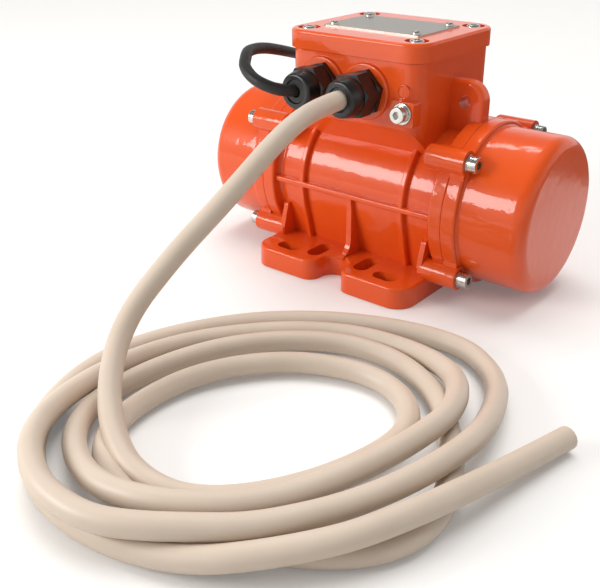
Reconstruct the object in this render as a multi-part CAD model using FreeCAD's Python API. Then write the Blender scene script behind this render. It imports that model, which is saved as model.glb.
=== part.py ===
"""Single-phase vibration motor: die-cast housing with a lobed foot, two end covers over the
eccentric weights, a terminal box with two cable glands, a run capacitor and a coiled mains cable.

Frame: millimetres, origin at the centre of the foot's underside, +X along the shaft,
-Y towards the cable glands, +Z up.
"""
import FreeCAD
import Part
import math
import os

V = FreeCAD.Vector
X_AXIS = V(1, 0, 0)
Y_AXIS = V(0, 1, 0)
Z_AXIS = V(0, 0, 1)
SIDES = {"left": -1, "right": 1}

# ---- shaft line and running gear ---------------------------------------------------------
AXIS_Z = 47.0
RUNNING_GAP = 0.05           # radial clearance of a part that turns on another
BODY_GAP = 0.4               # air between parts that move past each other
SHAFT_CORE_R = 11.0
SHAFT_BEARING_R = 8.5
SHAFT_WEIGHT_R = 8.0
SHAFT_END_X = 96.0
BEARING_X = 44.5             # inner face of each bearing
BEARING_WIDTH = 12.0
BEARING_R = 20.0
BALL_R = 3.3
BALL_PITCH_R = 14.25
BALL_COUNT = 7
ROTOR_R = 20.0
CORE_HALF = 24.0
WEIGHT_R = 34.0
INNER_WEIGHT_X = 60.0
INNER_WEIGHT_THICK = 11.0
OUTER_WEIGHT_X = INNER_WEIGHT_X + INNER_WEIGHT_THICK + BODY_GAP
OUTER_WEIGHT_THICK = 12.0

# ---- stator frame ------------------------------------------------------------------------
BORE_R = 34.5
BARREL_R = 39.0
RIB_R = 42.2
FLANGE_R = 45.0
FLANGE_X = 53.0
JOINT_X = 61.0               # face where housing and cover meet
RIB_X = 34.0
RIB_THICK = 3.2
SKIRT_LEAN = 15.0            # degrees below the axis where the flanks leave the barrel
CASTING_ROUND = 2.5

# ---- foot --------------------------------------------------------------------------------
FOOT_THICK = 12.0
FOOT_HALF_X = 53.0
FOOT_HALF_Y = 64.0
FOOT_CORNER = 11.0
WAIST_R = 8.5
SLOT_R = 4.5
OUTER_SLOT = (34.0, 53.0, 15.0)     # x, y, length along X
INNER_SLOT = (16.5, 46.25, 18.5)    # x, y, length along Y

# ---- end covers and their screws ---------------------------------------------------------
COVER_R = 42.2
COVER_END_X = 105.5
COVER_WALL = 4.0
COVER_FLANGE_X = 69.0
COVER_ROUND = 7.0
LUG_Y = 36.4
LUG_Z = 31.7
LUG_R = 6.5
LUG_END_X = 70.0
BOSS_START_X = 47.0
SCREW_R = 2.5
HEAD_R = 4.25
HEAD_H = 4.8
WASHER_H = 1.0

# ---- terminal box ------------------------------------------------------------------------
BOX_X = -2.0
BOX_Y = -2.5
BOX_HALF_X = 42.8
BOX_HALF_Y = 37.8
BOX_CORNER = 11.0
BOX_WALL = 4.0
BOX_FLOOR_Z = AXIS_Z + 46.0
BOX_DEPTH = 30.7
BOX_TOP_Z = BOX_FLOOR_Z + BOX_DEPTH
HOPPER_Z = BOX_FLOOR_Z - 3.0
LID_HEIGHT = 10.2
LID_TOP_Z = BOX_TOP_Z + LID_HEIGHT
LID_OVERHANG = 1.7
LID_WALL = 3.5
GASKET_H = 1.0
LID_SCREW = (34.6, 28.5)
PLATE = (31.0, 20.5, 0.8)
RIVET = (26.4, 16.5)
GLAND_Z = BOX_TOP_Z - 17.0
GLAND_X = {"capacitor": -20.0, "power": 8.6}
GLAND_THREAD_R = 9.3
EARTH = (33.0, GLAND_Z - 7.5)

# ---- cords and capacitor -----------------------------------------------------------------
POWER_R = 5.0
THIN_R = 3.15
CAP_R = 15.0
CAP_Y = BOX_Y + BOX_HALF_Y + CAP_R + 1.2
CAP_Z = GLAND_Z - 5.7
CAP_X = (-50.0, 8.0)
COIL_OUTER = (69.0, -182.5, 108.0, 93.5, 59.0)      # centre x, y, half axes, turn in degrees
COIL_HOLE = (67.5, -188.0, 54.0, 38.0, 51.0)
COIL_H = 21.2


# ---- helpers -----------------------------------------------------------------------------
def save(name, shape):
    shape = shape.removeSplitter() if shape.ShapeType in ("Solid", "Compound") else shape
    shape.exportStep("parts/" + name + ".step")
    print(name, "solids", len(shape.Solids), "volume %.0f" % shape.Volume, "valid", shape.isValid())


def fused(shapes):
    whole = shapes[0]
    for other in shapes[1:]:
        whole = whole.fuse(other)
    return whole.removeSplitter()


def cylinder(radius, length, base, axis=X_AXIS):
    return Part.makeCylinder(radius, length, V(*base), axis)


def box(x0, x1, y0, y1, z0, z1):
    return Part.makeBox(x1 - x0, y1 - y0, z1 - z0, V(x0, y0, z0))


def rounded_wire(corners, place):
    """Closed outline through (a, b, radius) corners, each rounded by a tangent arc."""
    count = len(corners)
    pieces = []
    for i in range(count):
        here = V(corners[i][0], corners[i][1], 0)
        back = V(*corners[i - 1][:2], 0) - here
        ahead = V(*corners[(i + 1) % count][:2], 0) - here
        radius = corners[i][2] if len(corners[i]) > 2 else 0
        back.normalize()
        ahead.normalize()
        if radius == 0:
            pieces.append((here, here, None))
            continue
        half = back.getAngle(ahead) / 2
        reach = radius / math.tan(half)
        middle = back + ahead
        middle.normalize()
        crown = here + middle * (radius / math.sin(half) - radius)
        pieces.append((here + back * reach, here + ahead * reach, crown))
    edges = []
    for i in range(count):
        start, end, crown = pieces[i]
        if crown is not None:
            edges.append(Part.Arc(place(start), place(crown), place(end)).toShape())
        following = pieces[(i + 1) % count][0]
        if (following - end).Length > 1e-6:
            edges.append(Part.LineSegment(place(end), place(following)).toShape())
    return Part.Wire(edges)


def in_yz(x):
    return lambda p: V(x, p.x, p.y)


def in_xy(z):
    return lambda p: V(p.x, p.y, z)


def turned(corners, side=1):
    """Solid of revolution about the shaft line from (x, radius, rounding) corners."""
    place = lambda p: V(side * p.x, 0, AXIS_Z + p.y)
    face = Part.Face(rounded_wire(corners, place))
    return face.revolve(V(0, 0, AXIS_Z), X_AXIS, 360)


def turned_on(corners, base, axis):
    """Solid of revolution from (along, radius, rounding) corners about any axis."""
    face = Part.Face(rounded_wire(corners, lambda p: V(p.y, 0, p.x)))
    solid = face.revolve(V(0, 0, 0), Z_AXIS, 360)
    solid.Placement = FreeCAD.Placement(V(*base), FreeCAD.Rotation(Z_AXIS, axis))
    return solid


def prism(wire, direction):
    return Part.Face(wire).extrude(direction)


def slab(cx, cy, hx, hy, corner, z0, z1):
    corners = [(cx - hx, cy - hy, corner), (cx + hx, cy - hy, corner),
               (cx + hx, cy + hy, corner), (cx - hx, cy + hy, corner)]
    return prism(rounded_wire(corners, in_xy(z0)), V(0, 0, z1 - z0))


def hexagon(flats, length, base, axis, chamfer=0.8, turn_by=0):
    """Hexagonal prism whose front corners are turned off, as on a real nut."""
    corner = flats / math.sqrt(3)
    angles = [math.radians(60 * i + turn_by) for i in range(7)]
    points = [V(corner * math.cos(a), corner * math.sin(a), 0) for a in angles]
    body = prism(Part.makePolygon(points), V(0, 0, length))
    turn = turned_on([(0, 0), (length, 0), (length, corner - chamfer * 1.7),
                      (length - chamfer, corner + 0.1), (0, corner + 0.1)], (0, 0, 0), Z_AXIS)
    body = body.common(turn)
    body.Placement = FreeCAD.Placement(V(*base), FreeCAD.Rotation(Z_AXIS, axis))
    return body


def slot(x, y, length, along, z0, z1):
    """Straight-sided slot with round ends, running along X or Y."""
    reach = length / 2 - SLOT_R
    step = V(reach, 0, 0) if along == "x" else V(0, reach, 0)
    centre = V(x, y, z0)
    ends = [cylinder(SLOT_R, z1 - z0, tuple(centre + step * s), Z_AXIS) for s in (-1, 1)]
    half_x, half_y = (reach, SLOT_R) if along == "x" else (SLOT_R, reach)
    return fused(ends + [box(x - half_x, x + half_x, y - half_y, y + half_y, z0, z1)])


def lug_points():
    return [(sy * LUG_Y, AXIS_Z + sz * LUG_Z) for sy in (-1, 1) for sz in (-1, 1)]


def cord(points, radius, name):
    """Round cord: straight runs joined by tangent arcs."""
    corners = [V(*p) for p in points]
    edges = []
    start = corners[0]
    radii = []
    for i in range(1, len(corners) - 1):
        back = corners[i - 1] - corners[i]
        ahead = corners[i + 1] - corners[i]
        reach = 0.45 * min(back.Length, ahead.Length)
        back.normalize()
        ahead.normalize()
        half = back.getAngle(ahead) / 2
        middle = back + ahead
        middle.normalize()
        bend = reach * math.tan(half)
        enter = corners[i] + back * reach
        leave = corners[i] + ahead * reach
        crown = corners[i] + middle * (bend / math.sin(half) - bend)
        edges.append(Part.LineSegment(start, enter).toShape())
        edges.append(Part.Arc(enter, crown, leave).toShape())
        radii.append(bend)
        start = leave
    edges.append(Part.LineSegment(start, corners[-1]).toShape())
    spine = Part.Wire(edges)
    heading = corners[1] - corners[0]
    ring = Part.Wire(Part.makeCircle(radius, corners[0], heading))
    tube = spine.makePipeShell([ring], True, True)
    print(name, "bend radii", [round(r, 1) for r in radii], "length %.1f" % spine.Length,
          "volume ratio %.3f" % (tube.Volume / (spine.Length * math.pi * radius ** 2)))
    return tube


os.makedirs("parts", exist_ok=True)

# ---- housing -----------------------------------------------------------------------------
# Barrel with an end flange each side, turned as one profile.
barrel = turned([(-JOINT_X, 0), (-JOINT_X, FLANGE_R, 0.6), (-FLANGE_X, FLANGE_R, 1.5),
                 (-FLANGE_X, BARREL_R, CASTING_ROUND), (FLANGE_X, BARREL_R, CASTING_ROUND),
                 (FLANGE_X, FLANGE_R, 1.5), (JOINT_X, FLANGE_R, 0.6), (JOINT_X, 0)])


def flank(radius, foot_z):
    """Section of a rib or barrel that leaves its circle in a straight flank down to the foot."""
    lean = math.radians(SKIRT_LEAN)
    touch_y = radius * math.cos(lean)
    touch_z = AXIS_Z - radius * math.sin(lean)
    foot_y = touch_y - (touch_z - foot_z) * math.tan(lean)
    edges = [Part.Arc(V(0, -touch_y, touch_z), V(0, 0, AXIS_Z + radius), V(0, touch_y, touch_z)),
             Part.LineSegment(V(0, touch_y, touch_z), V(0, foot_y, foot_z)),
             Part.LineSegment(V(0, foot_y, foot_z), V(0, -foot_y, foot_z)),
             Part.LineSegment(V(0, -foot_y, foot_z), V(0, -touch_y, touch_z))]
    return Part.Wire([e.toShape() for e in edges]), foot_y


body_section, pedestal_y = flank(BARREL_R, FOOT_THICK - 1)
rib_section, rib_foot_y = flank(RIB_R, FOOT_THICK - 1)
pedestal = prism(body_section, V(2 * FLANGE_X - 2, 0, 0))
pedestal.translate(V(1 - FLANGE_X, 0, 0))
ribs = []
for x in (-RIB_X, RIB_X):
    rib = prism(rib_section, V(RIB_THICK, 0, 0))
    rib = rib.makeFillet(0.9, [e for e in rib.Edges if e.Length > 20])
    rib.translate(V(x - RIB_THICK / 2, 0, 0))
    ribs.append(rib)
belt = box(-FLANGE_X - 1, FLANGE_X + 1, -RIB_R - 0.3, RIB_R + 0.3, AXIS_Z - 1.6, AXIS_Z + 1.6)
belt = belt.makeFillet(1.0, [e for e in belt.Edges if e.Length > 100])

# Middle gusset: upright under the belt, sweeping out on to the foot.
gussets = []
for side in (-1, 1):
    outline = [(side * 20, AXIS_Z), (side * RIB_R, AXIS_Z), (side * 41, AXIS_Z - 8, 12),
               (side * 41, FOOT_THICK, 9), (side * 50, FOOT_THICK - 0.2), (side * 20, FOOT_THICK - 1)]
    gusset = prism(rounded_wire(outline, in_yz(-RIB_THICK / 2)), V(RIB_THICK, 0, 0))
    gussets.append(gusset)

# Screw bosses behind each flange, with a fin at the inner end of the two lower ones.
bosses = []
for side in (-1, 1):
    start = min(side * BOSS_START_X, side * JOINT_X)
    for y, z in lug_points():
        boss = cylinder(LUG_R, JOINT_X - BOSS_START_X, (start, y, z))
        inner = [e for e in boss.Edges if abs(abs(e.CenterOfMass.x) - BOSS_START_X) < 0.01]
        bosses.append(boss.makeFillet(1.5, inner))
        web_y = y - math.copysign(LUG_R, y) * 1.6
        web_z = z - math.copysign(LUG_R, z - AXIS_Z) * 0.9
        low, high = sorted((z + math.copysign(LUG_R * 0.6, z - AXIS_Z), web_z))
        inner_y, outer_y = sorted((web_y, y + math.copysign(LUG_R * 0.35, y)))
        bosses.append(box(start + 0.5, start + JOINT_X - BOSS_START_X, inner_y, outer_y, low, high))
        if z < AXIS_Z:
            out = math.copysign(1, y)
            fin = [(out * 34, 14), (out * 42.5, 17), (out * 40.5, 25, 3), (out * 38.6, 31, 1),
                   (out * 34, 33)]
            fin_x = side * (BOSS_START_X + 1.2) - 1.5
            bosses.append(prism(rounded_wire(fin, in_yz(fin_x)), V(3.0, 0, 0)))

# Foot plate: two lobes each side of a waist, eight slots.
foot_outline = []
for sx, sy in ((-1, -1), (1, -1), (1, 1), (-1, 1)):
    lobe = [(sx * FOOT_HALF_X, sy * FOOT_HALF_Y, FOOT_CORNER),
            (sx * WAIST_R, sy * FOOT_HALF_Y, WAIST_R - 1.0)]
    foot_outline.append(lobe if sx * sy > 0 else lobe[::-1])
waist_y = FOOT_HALF_Y - 17.0
front_waist = [(-WAIST_R, -waist_y, WAIST_R - 0.2), (WAIST_R, -waist_y, WAIST_R - 0.2)]
back_waist = [(-p[0], -p[1], p[2]) for p in front_waist]
foot_corners = foot_outline[0] + front_waist + foot_outline[1] + foot_outline[2]
foot_corners += back_waist + foot_outline[3]
foot = prism(rounded_wire(foot_corners, in_xy(0)), V(0, 0, FOOT_THICK))
foot = foot.makeFillet(1.5, [e for e in foot.Edges if abs(e.CenterOfMass.z - FOOT_THICK) < 0.01])

# Terminal box: drafted hopper that closes in on the barrel, rounded upright corners.
hopper_back = BOX_Y + BOX_HALF_Y
hopper_front = BOX_Y - BOX_HALF_Y
hopper = [(hopper_front, BOX_TOP_Z), (hopper_front, HOPPER_Z, 9), (-27, 75), (27, 75),
          (hopper_back, HOPPER_Z, 9), (hopper_back, BOX_TOP_Z)]
hopper = prism(rounded_wire(hopper, in_yz(BOX_X - BOX_HALF_X)), V(2 * BOX_HALF_X, 0, 0))
shaft_of_box = slab(BOX_X, BOX_Y, BOX_HALF_X, BOX_HALF_Y, BOX_CORNER, 60, BOX_TOP_Z)
terminal_box = hopper.common(shaft_of_box)
pads = []
for name in GLAND_X:
    pad = turned_on([(0, 0), (0, 15.0), (4.2, 15.0, 1.2), (4.2, 0)],
                    (GLAND_X[name], hopper_front + 2.5, GLAND_Z), V(0, -1, 0))
    pads.append(pad)
earth_pad = slab(0, 0, 7.0, 6.4, 1.5, 0, 8.7)
earth_pad.Placement = FreeCAD.Placement(V(EARTH[0] - 0.6, hopper_front + 7.0, EARTH[1] - 0.4),
                                        FreeCAD.Rotation(Z_AXIS, V(0, -1, 0)))
pads.append(earth_pad)

# Lifting lug beside the box.
LUG_HOLE = (49.3, 101.0)
LUG_PLATE_Y = (-7.5, 1.0)
LUG_PLATE_R = 11.0
lug_disc = cylinder(LUG_PLATE_R, LUG_PLATE_Y[1] - LUG_PLATE_Y[0],
                    (LUG_HOLE[0], LUG_PLATE_Y[0], LUG_HOLE[1]), Y_AXIS)
lug_leg = box(38, LUG_HOLE[0] + LUG_PLATE_R, LUG_PLATE_Y[0], LUG_PLATE_Y[1], 80, LUG_HOLE[1])
lug_arm = box(38, LUG_HOLE[0], LUG_PLATE_Y[0], LUG_PLATE_Y[1], 90, LUG_HOLE[1] + LUG_PLATE_R)
lifting_lug = fused([lug_disc, lug_leg, lug_arm])
lug_rim = [e for e in lifting_lug.Edges
           if abs(e.CenterOfMass.y - (LUG_PLATE_Y[0] + LUG_PLATE_Y[1]) / 2) > 4.2
           and e.CenterOfMass.x > 45 and e.CenterOfMass.z > 88]
lifting_lug = lifting_lug.makeFillet(2.2, lug_rim)

housing = fused([barrel, pedestal] + ribs + [belt] + gussets + bosses + [foot, terminal_box]
                + pads + [lifting_lug])
# nothing of the webs stands beyond the joint faces
housing = housing.common(box(-JOINT_X, JOINT_X, -FOOT_HALF_Y, FOOT_HALF_Y, 0, BOX_TOP_Z))

cuts = [cylinder(BORE_R, 2 * JOINT_X, (-JOINT_X, 0, AXIS_Z))]
cavity = slab(BOX_X, BOX_Y, BOX_HALF_X - BOX_WALL, BOX_HALF_Y - BOX_WALL, BOX_CORNER - BOX_WALL,
              BOX_FLOOR_Z, BOX_TOP_Z)
corner_posts = []
for sx in (-1, 1):
    for sy in (-1, 1):
        post = (BOX_X + sx * LID_SCREW[0], BOX_Y + sy * LID_SCREW[1], BOX_FLOOR_Z)
        corner_posts.append(cylinder(5.5, BOX_TOP_Z - BOX_FLOOR_Z, post, Z_AXIS))
        cuts.append(cylinder(2.0, 16, (post[0], post[1], BOX_TOP_Z - 16), Z_AXIS))
cuts.append(cavity.cut(fused(corner_posts)))
cuts.append(cylinder(7.0, 16, (BOX_X, BOX_Y, BOX_FLOOR_Z - 15), Z_AXIS))
for name in GLAND_X:
    cuts.append(cylinder(GLAND_THREAD_R, 14, (GLAND_X[name], hopper_front - 3, GLAND_Z), Y_AXIS))
cuts.append(cylinder(SCREW_R, 14, (EARTH[0], hopper_front - 2, EARTH[1]), Y_AXIS))
cuts.append(cylinder(2.0, 6, (-20, hopper_back - 5, CAP_Z + 17.5), Y_AXIS))
for side in (-1, 1):
    for y, z in lug_points():
        start = min(side * (JOINT_X - 12), side * JOINT_X)
        cuts.append(cylinder(SCREW_R, 12, (start, y, z)))
    cuts.append(turned([(JOINT_X - 1.9, 39.5), (JOINT_X - 1.9, 42.1), (JOINT_X + 1, 42.1),
                        (JOINT_X + 1, 39.5)], side))
    ring_x = BEARING_X + BEARING_WIDTH + 0.5
    cuts.append(turned([(ring_x, 30), (ring_x, BORE_R + 1.2), (ring_x + 1.6, BORE_R + 1.2),
                        (ring_x + 1.6, 30)], side))
    for sy in (-1, 1):
        cuts.append(slot(side * OUTER_SLOT[0], sy * OUTER_SLOT[1], OUTER_SLOT[2], "x", -1,
                         FOOT_THICK + 1))
        cuts.append(slot(side * INNER_SLOT[0], sy * INNER_SLOT[1], INNER_SLOT[2], "y", -1,
                         FOOT_THICK + 3))
cuts.append(cylinder(3.5, 20, (LUG_HOLE[0], -15, LUG_HOLE[1]), Y_AXIS))
for piece in cuts:
    housing = housing.cut(piece)
save("housing", housing)

# ---- stator ------------------------------------------------------------------------------
stator = turned([(-CORE_HALF, ROTOR_R + BODY_GAP), (-CORE_HALF, BORE_R), (CORE_HALF, BORE_R),
                 (CORE_HALF, ROTOR_R + BODY_GAP)])
SLOT_COUNT = 12
bars = []
for i in range(SLOT_COUNT):
    window = box(-CORE_HALF - 1, CORE_HALF + 1, -2.4, 2.4, AXIS_Z + 23.0, AXIS_Z + 30.0)
    window = window.fuse(box(-CORE_HALF - 1, CORE_HALF + 1, -0.9, 0.9, AXIS_Z + 18, AXIS_Z + 24))
    window.rotate(V(0, 0, AXIS_Z), X_AXIS, 360.0 / SLOT_COUNT * i)
    stator = stator.cut(window)
    bar = box(-CORE_HALF - 3, CORE_HALF + 3, -2.4, 2.4, AXIS_Z + 23.0, AXIS_Z + 30.0)
    bar.rotate(V(0, 0, AXIS_Z), X_AXIS, 360.0 / SLOT_COUNT * i)
    bars.append(bar)
save("stator_core", stator)
end_turns = [turned([(CORE_HALF + 1.5, 22.6, 2), (CORE_HALF + 1.5, 31.5, 3), (39.0, 31.5, 4),
                     (39.0, 22.6, 4)], side) for side in (-1, 1)]
save("stator_windings", fused(end_turns + bars))

# ---- bearing shields, their rings, the bearings -------------------------------------------
for label, side in SIDES.items():
    out_x = BEARING_X + BEARING_WIDTH
    shield = turned([(BEARING_X - 2.5, 14.0), (BEARING_X - 2.5, 23.0, 1), (BEARING_X + 4, 24.5, 2),
                     (BEARING_X + 4, BORE_R), (out_x + 0.5, BORE_R), (out_x + 0.5, 31.0, 0.8),
                     (BEARING_X + 9, 29.5, 2), (BEARING_X + 9, 25.0, 1.5), (out_x, 24.0, 0.8),
                     (out_x, BEARING_R), (BEARING_X, BEARING_R), (BEARING_X, 14.0)], side)
    for i in range(6):
        hole = cylinder(2.6, 14, (min(side * (BEARING_X + 1), side * (BEARING_X + 15)), 0,
                                  AXIS_Z + 27.3))
        hole.rotate(V(0, 0, AXIS_Z), X_AXIS, 60 * i + 30)
        shield = shield.cut(hole)
    save("bearing_shield_" + label, shield)
    ring = turned([(out_x + 0.5, 31.6), (out_x + 0.5, BORE_R + 1.2), (out_x + 2.1, BORE_R + 1.2),
                   (out_x + 2.1, 31.6)], side)
    gap_start = min(side * out_x, side * (out_x + 4))
    ring = ring.cut(box(gap_start, gap_start + 4, -5, 5, AXIS_Z + 28, AXIS_Z + 40))
    save("shield_ring_" + label, ring)
    mid = side * (BEARING_X + BEARING_WIDTH / 2)
    groove = Part.makeTorus(BALL_PITCH_R, BALL_R + RUNNING_GAP, V(mid, 0, AXIS_Z), X_AXIS)
    outer = turned([(BEARING_X, 16.6), (BEARING_X, BEARING_R, 0.6), (out_x, BEARING_R, 0.6),
                    (out_x, 16.6)], side)
    inner = turned([(BEARING_X, SHAFT_BEARING_R), (BEARING_X, 11.9), (out_x, 11.9),
                    (out_x, SHAFT_BEARING_R)], side)
    save("bearing_outer_ring_" + label, outer.cut(groove))
    save("bearing_inner_ring_" + label, inner.cut(groove))
    balls = []
    cage = turned([(BEARING_X + 2.2, 13.2), (BEARING_X + 2.2, 15.3), (out_x - 2.2, 15.3),
                   (out_x - 2.2, 13.2)], side)
    for i in range(BALL_COUNT):
        angle = math.radians(360.0 / BALL_COUNT * i)
        spot = V(mid, BALL_PITCH_R * math.sin(angle), AXIS_Z + BALL_PITCH_R * math.cos(angle))
        balls.append(Part.makeSphere(BALL_R, spot))
        pocket = cylinder(BALL_R + RUNNING_GAP, 6, (mid, 0, AXIS_Z + 11), Z_AXIS)
        pocket.rotate(V(0, 0, AXIS_Z), X_AXIS, -360.0 / BALL_COUNT * i)
        cage = cage.cut(pocket)
    save("bearing_balls_" + label, Part.makeCompound(balls))
    save("bearing_cage_" + label, cage)

# ---- rotor -------------------------------------------------------------------------------
half_shaft = [(0, 0), (0, SHAFT_CORE_R), (BEARING_X, SHAFT_CORE_R), (BEARING_X, SHAFT_BEARING_R),
              (INNER_WEIGHT_X - 1, SHAFT_BEARING_R), (INNER_WEIGHT_X - 1, SHAFT_WEIGHT_R),
              (SHAFT_END_X - 1, SHAFT_WEIGHT_R), (SHAFT_END_X, SHAFT_WEIGHT_R - 1),
              (SHAFT_END_X, 0)]
shaft = fused([turned(half_shaft, side) for side in (-1, 1)])
KEY = (2.5, 5.4, 10.6)       # half width, seat depth, top, both from the shaft line
outer_end = OUTER_WEIGHT_X + OUTER_WEIGHT_THICK
keys = []
clips = []
for side in (-1, 1):
    start = min(side * (INNER_WEIGHT_X + 0.5), side * (INNER_WEIGHT_X + INNER_WEIGHT_THICK - 0.5))
    key = box(start, start + INNER_WEIGHT_THICK - 1, -KEY[0], KEY[0], AXIS_Z + KEY[1],
              AXIS_Z + KEY[2] - 0.1)
    keys.append(key)
    shaft = shaft.cut(key)
    clip_x = outer_end + 0.5
    clip = turned([(clip_x, SHAFT_WEIGHT_R - 0.7), (clip_x, 11.2), (clip_x + 1.3, 11.2),
                   (clip_x + 1.3, SHAFT_WEIGHT_R - 0.7)], side)
    shaft = shaft.cut(clip)
    clips.append(clip.cut(box(-120, 120, -3, 3, AXIS_Z + 4, AXIS_Z + 20)))
save("shaft", shaft)
save("weight_keys", Part.makeCompound(keys))
save("shaft_clips", Part.makeCompound(clips))
rotor_core = turned([(-CORE_HALF, SHAFT_CORE_R), (-CORE_HALF, ROTOR_R, 0.4),
                     (CORE_HALF, ROTOR_R, 0.4), (CORE_HALF, SHAFT_CORE_R)])
save("rotor_core", rotor_core)
end_rings = []
for side in (-1, 1):
    end_ring = turned([(CORE_HALF, 13.0), (CORE_HALF, 18.8, 0), (CORE_HALF + 5, 18.4, 1),
                       (CORE_HALF + 5, 13.4, 1)], side)
    for i in range(8):
        start = min(side * (CORE_HALF + 3), side * (CORE_HALF + 10))
        blade = box(start, start + 7, -0.9, 0.9, AXIS_Z + 14.0, AXIS_Z + 18.2)
        blade.rotate(V(0, 0, AXIS_Z), X_AXIS, 45 * i)
        end_ring = end_ring.fuse(blade)
    end_rings.append(end_ring.removeSplitter())
save("rotor_end_rings", Part.makeCompound(end_rings))


def weight(thick, bore, hub_r, side, start):
    """Half-round eccentric weight hanging below its hub."""
    outline = [Part.Arc(V(0, -WEIGHT_R, -4), V(0, 0, -math.hypot(WEIGHT_R, 4)), V(0, WEIGHT_R, -4)),
               Part.LineSegment(V(0, WEIGHT_R, -4), V(0, -WEIGHT_R, -4))]
    sector = prism(Part.Wire([e.toShape() for e in outline]), V(thick, 0, 0))
    hub = Part.makeCylinder(hub_r, thick, V(0, 0, 0), X_AXIS)
    body = fused([sector, hub]).cut(Part.makeCylinder(bore, thick, V(0, 0, 0), X_AXIS))
    body.translate(V(min(side * start, side * (start + thick)), 0, AXIS_Z))
    return body


for label, side in SIDES.items():
    inner_weight = weight(INNER_WEIGHT_THICK, SHAFT_WEIGHT_R, 15.0, side, INNER_WEIGHT_X)
    keyway = box(min(side * 50, side * 80), max(side * 50, side * 80), -KEY[0], KEY[0],
                 AXIS_Z + 6, AXIS_Z + KEY[2])
    save("inner_weight_" + label, inner_weight.cut(keyway))
    outer_weight = weight(OUTER_WEIGHT_THICK, SHAFT_WEIGHT_R + RUNNING_GAP, 15.0, side,
                          OUTER_WEIGHT_X)
    start = min(side * OUTER_WEIGHT_X, side * outer_end)
    ears = box(start, start + OUTER_WEIGHT_THICK, -8, 8, AXIS_Z + 8, AXIS_Z + 19)
    ears = ears.makeFillet(2, [e for e in ears.Edges if abs(e.CenterOfMass.z - AXIS_Z - 19) < 0.1
                               and abs(abs(e.CenterOfMass.y) - 8) < 0.1])
    bore = cylinder(SHAFT_WEIGHT_R + RUNNING_GAP, 20, (start - 4, 0, AXIS_Z))
    middle = start + OUTER_WEIGHT_THICK / 2
    bolt_z = AXIS_Z + 14.0
    outer_weight = outer_weight.fuse(ears.cut(bore))
    outer_weight = outer_weight.cut(box(start - 1, start + 13, -1, 1, AXIS_Z + 5, AXIS_Z + 25))
    outer_weight = outer_weight.cut(cylinder(3.0, 16, (middle, -8, bolt_z), Y_AXIS))
    outer_weight = outer_weight.cut(cylinder(5.6, 12, (middle, -20, bolt_z), Y_AXIS))
    save("outer_weight_" + label, outer_weight.removeSplitter())
    bolt = turned_on([(-13, 0), (-13, 5.0, 0.6), (-8, 5.0), (-8, 3.0), (8.0, 3.0), (8.0, 0)],
                     (middle, 0, bolt_z), Y_AXIS)
    bolt = bolt.cut(hexagon(5.0, 3.0, (middle, -13.01, bolt_z), Y_AXIS, 0.01))
    save("weight_clamp_bolt_" + label, bolt)

# ---- end covers, seals, screws -------------------------------------------------------------
for label, side in SIDES.items():
    cover = turned([(JOINT_X, 0), (JOINT_X, FLANGE_R, 0.6), (COVER_FLANGE_X, FLANGE_R, 1.2),
                    (COVER_FLANGE_X, COVER_R, 1.2), (COVER_END_X, COVER_R, COVER_ROUND),
                    (COVER_END_X, 0)], side)
    start = min(side * JOINT_X, side * LUG_END_X)
    for y, z in lug_points():
        lug = cylinder(LUG_R, LUG_END_X - JOINT_X, (start, y, z))
        inner_y, outer_y = sorted((y * 0.78, y + math.copysign(LUG_R * 0.35, y)))
        reach_z = math.copysign(LUG_R * 0.6, z - AXIS_Z)
        low, high = sorted((AXIS_Z + (z - AXIS_Z) * 0.72, z + reach_z))
        web = box(min(side * JOINT_X, side * COVER_FLANGE_X), max(side * JOINT_X,
                  side * COVER_FLANGE_X), inner_y, outer_y, low, high)
        cover = cover.fuse(lug).fuse(web)
    cover = cover.cut(turned([(JOINT_X - 1, 0), (JOINT_X - 1, COVER_R - COVER_WALL),
                              (COVER_END_X - COVER_WALL, COVER_R - COVER_WALL, 4),
                              (COVER_END_X - COVER_WALL, 0)], side))
    screws = []
    washers = []
    for y, z in lug_points():
        cover = cover.cut(cylinder(SCREW_R + 0.25, 20, (start - 5, y, z)))
        out = V(side, 0, 0)
        seat = side * LUG_END_X
        washers.append(turned_on([(0, SCREW_R + 0.1), (0, 4.7, 0.2), (WASHER_H, 4.7, 0.2),
                                  (WASHER_H, SCREW_R + 0.1)], (seat, y, z), out))
        screw = turned_on([(-19, 0), (-19, SCREW_R - 0.5), (-18.5, SCREW_R), (WASHER_H, SCREW_R),
                           (WASHER_H, HEAD_R), (WASHER_H + HEAD_H, HEAD_R, 0.5),
                           (WASHER_H + HEAD_H, 0)], (seat, y, z), out)
        socket = hexagon(4.0, 2.6, (seat + side * (WASHER_H + HEAD_H - 2.59), y, z), out, 0.01)
        screws.append(screw.cut(socket))
    save("cover_" + label, cover.removeSplitter())
    save("cover_screws_" + label, Part.makeCompound(screws))
    save("cover_washers_" + label, Part.makeCompound(washers))
    seal = turned([(JOINT_X - 1.9, 39.5), (JOINT_X - 1.9, 42.1), (JOINT_X, 41.4, 0.5),
                   (JOINT_X, 40.2, 0.5)], side)
    save("cover_seal_" + label, seal)

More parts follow.
